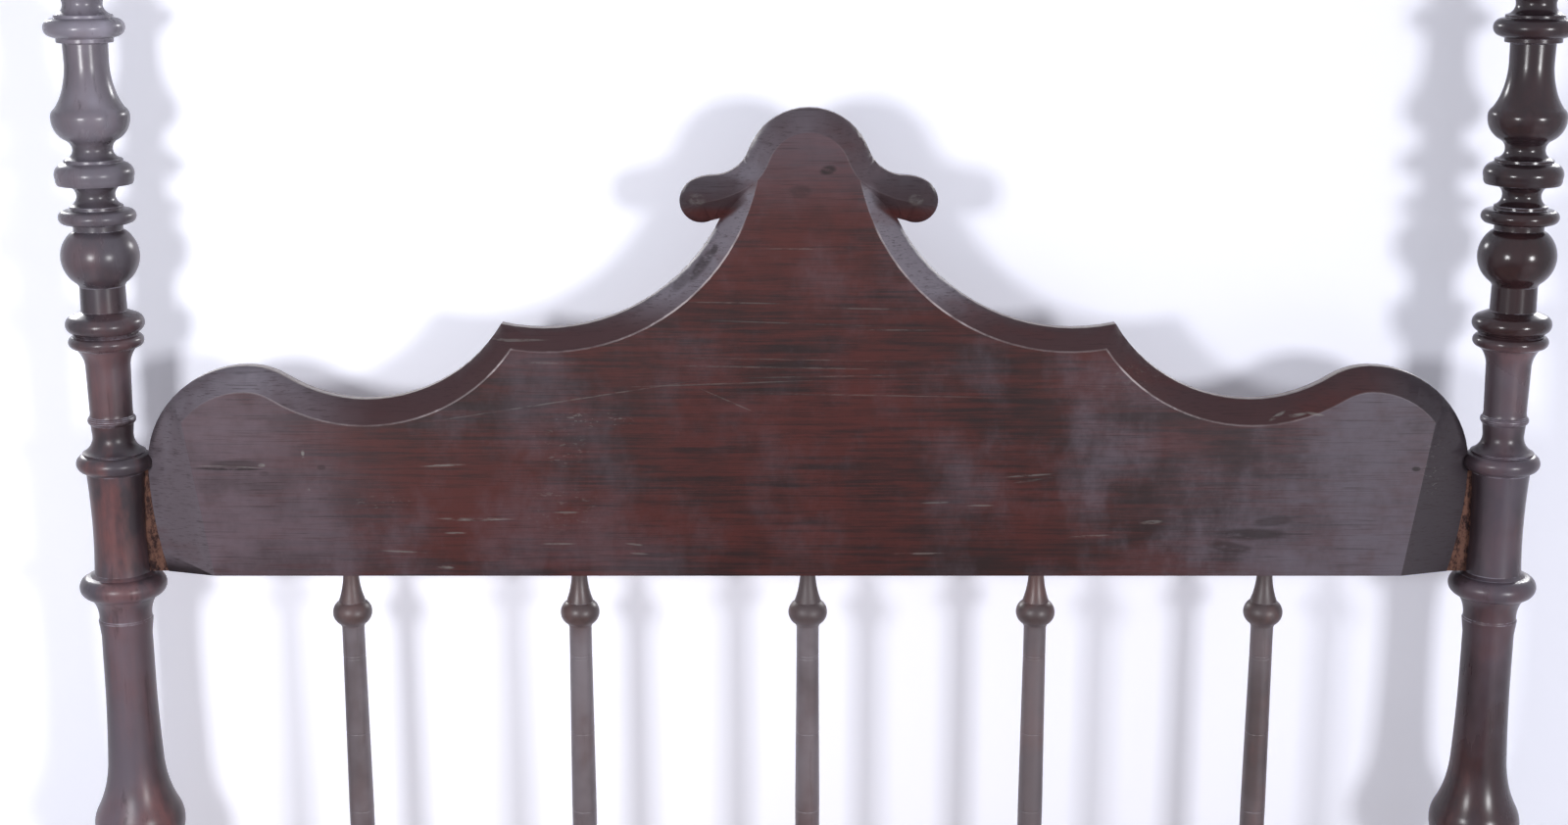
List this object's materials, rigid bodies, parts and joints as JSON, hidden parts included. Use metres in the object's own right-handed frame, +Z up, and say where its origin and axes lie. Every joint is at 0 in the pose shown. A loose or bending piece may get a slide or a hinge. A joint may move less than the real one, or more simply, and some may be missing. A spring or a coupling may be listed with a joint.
{
  "type": "spindle bed",
  "caption": "Four-post wooden bed: turned posts in lift-off sections, a shaped headboard with sloped edges over turned spindles, bolted side rails and loose slats.",
  "frame": {"origin": "on the floor under the middle of the bed", "axes": "+Z up, +Y from the foot end to the head end, +X across the bed to the right as seen from the foot end"},
  "size_m": [1.536, 2.0928, 2.06],
  "materials": {
    "panel_wood": "dark polished hardwood, worn edges",
    "post_wood": "near-black polished hardwood",
    "spindle_wood": "dark polished hardwood, hazy wax",
    "rail_wood": "dark polished hardwood",
    "slat_wood": "plain unpolished timber",
    "bolt_iron": "blackened iron",
    "cover_brass": "aged brass"
  },
  "bodies": {
    "frame": {"headboard": "panel_wood", "head_rail": "rail_wood", "foot_rail": "rail_wood", "foot_bar": "post_wood", "head_post_left": "post_wood", "head_post_right": "post_wood", "foot_post_left": "post_wood", "foot_post_right": "post_wood", "head_spindle_1": "spindle_wood", "head_spindle_2": "spindle_wood", "head_spindle_3": "spindle_wood", "head_spindle_4": "spindle_wood", "head_spindle_5": "spindle_wood", "foot_spindle_1": "spindle_wood", "foot_spindle_2": "spindle_wood", "foot_spindle_3": "spindle_wood", "foot_spindle_4": "spindle_wood", "foot_spindle_5": "spindle_wood", "side_rail_left": "rail_wood", "side_rail_right": "rail_wood", "slat_ledge_left": "slat_wood", "slat_ledge_right": "slat_wood", "bed_bolts": "bolt_iron", "bolt_nuts": "bolt_iron", "cover_screws": "cover_brass", "rail_pegs": "slat_wood", "ledge_screws": "cover_brass"},
    "upper_head_left": {"upper_post_head_left": "post_wood", "finial_head_left": "post_wood"},
    "upper_head_right": {"upper_post_head_right": "post_wood", "finial_head_right": "post_wood"},
    "upper_foot_left": {"upper_post_foot_left": "post_wood", "finial_foot_left": "post_wood"},
    "upper_foot_right": {"upper_post_foot_right": "post_wood", "finial_foot_right": "post_wood"},
    "cover_head_left": {"bolt_cover_head_left": "cover_brass"},
    "cover_head_right": {"bolt_cover_head_right": "cover_brass"},
    "cover_foot_left": {"bolt_cover_foot_left": "cover_brass"},
    "cover_foot_right": {"bolt_cover_foot_right": "cover_brass"},
    "loose_slat_01": {"slat_01": "slat_wood"},
    "loose_slat_02": {"slat_02": "slat_wood"},
    "loose_slat_03": {"slat_03": "slat_wood"},
    "loose_slat_04": {"slat_04": "slat_wood"},
    "loose_slat_05": {"slat_05": "slat_wood"},
    "loose_slat_06": {"slat_06": "slat_wood"},
    "loose_slat_07": {"slat_07": "slat_wood"},
    "loose_slat_08": {"slat_08": "slat_wood"},
    "loose_slat_09": {"slat_09": "slat_wood"},
    "loose_slat_10": {"slat_10": "slat_wood"},
    "loose_slat_11": {"slat_11": "slat_wood"},
    "loose_slat_12": {"slat_12": "slat_wood"}
  },
  "joints": [
    {"name": "lift_upper_head_left", "type": "slide", "parent": "frame", "child": "upper_head_left", "axis": [0, 0, 1], "range_m": [0, 0.075]},
    {"name": "lift_upper_head_right", "type": "slide", "parent": "frame", "child": "upper_head_right", "axis": [0, 0, 1], "range_m": [0, 0.075]},
    {"name": "lift_upper_foot_left", "type": "slide", "parent": "frame", "child": "upper_foot_left", "axis": [0, 0, 1], "range_m": [0, 0.075]},
    {"name": "lift_upper_foot_right", "type": "slide", "parent": "frame", "child": "upper_foot_right", "axis": [0, 0, 1], "range_m": [0, 0.075]},
    {"name": "swing_cover_head_left", "type": "hinge", "parent": "frame", "child": "cover_head_left", "pos_m": [-0.72, 1.0387, 0.408], "axis": [0, 1, 0], "range_deg": [-150, 150]},
    {"name": "swing_cover_head_right", "type": "hinge", "parent": "frame", "child": "cover_head_right", "pos_m": [0.72, 1.0387, 0.408], "axis": [0, 1, 0], "range_deg": [-150, 150]},
    {"name": "swing_cover_foot_left", "type": "hinge", "parent": "frame", "child": "cover_foot_left", "pos_m": [-0.72, -1.0387, 0.408], "axis": [0, 1, 0], "range_deg": [-150, 150]},
    {"name": "swing_cover_foot_right", "type": "hinge", "parent": "frame", "child": "cover_foot_right", "pos_m": [0.72, -1.0387, 0.408], "axis": [0, 1, 0], "range_deg": [-150, 150]},
    {"name": "lift_slat_01", "type": "slide", "parent": "frame", "child": "loose_slat_01", "axis": [0, 0, 1], "range_m": [0, 0.12]},
    {"name": "lift_slat_02", "type": "slide", "parent": "frame", "child": "loose_slat_02", "axis": [0, 0, 1], "range_m": [0, 0.12]},
    {"name": "lift_slat_03", "type": "slide", "parent": "frame", "child": "loose_slat_03", "axis": [0, 0, 1], "range_m": [0, 0.12]},
    {"name": "lift_slat_04", "type": "slide", "parent": "frame", "child": "loose_slat_04", "axis": [0, 0, 1], "range_m": [0, 0.12]},
    {"name": "lift_slat_05", "type": "slide", "parent": "frame", "child": "loose_slat_05", "axis": [0, 0, 1], "range_m": [0, 0.12]},
    {"name": "lift_slat_06", "type": "slide", "parent": "frame", "child": "loose_slat_06", "axis": [0, 0, 1], "range_m": [0, 0.12]},
    {"name": "lift_slat_07", "type": "slide", "parent": "frame", "child": "loose_slat_07", "axis": [0, 0, 1], "range_m": [0, 0.12]},
    {"name": "lift_slat_08", "type": "slide", "parent": "frame", "child": "loose_slat_08", "axis": [0, 0, 1], "range_m": [0, 0.12]},
    {"name": "lift_slat_09", "type": "slide", "parent": "frame", "child": "loose_slat_09", "axis": [0, 0, 1], "range_m": [0, 0.12]},
    {"name": "lift_slat_10", "type": "slide", "parent": "frame", "child": "loose_slat_10", "axis": [0, 0, 1], "range_m": [0, 0.12]},
    {"name": "lift_slat_11", "type": "slide", "parent": "frame", "child": "loose_slat_11", "axis": [0, 0, 1], "range_m": [0, 0.12]},
    {"name": "lift_slat_12", "type": "slide", "parent": "frame", "child": "loose_slat_12", "axis": [0, 0, 1], "range_m": [0, 0.12]}
  ]
}
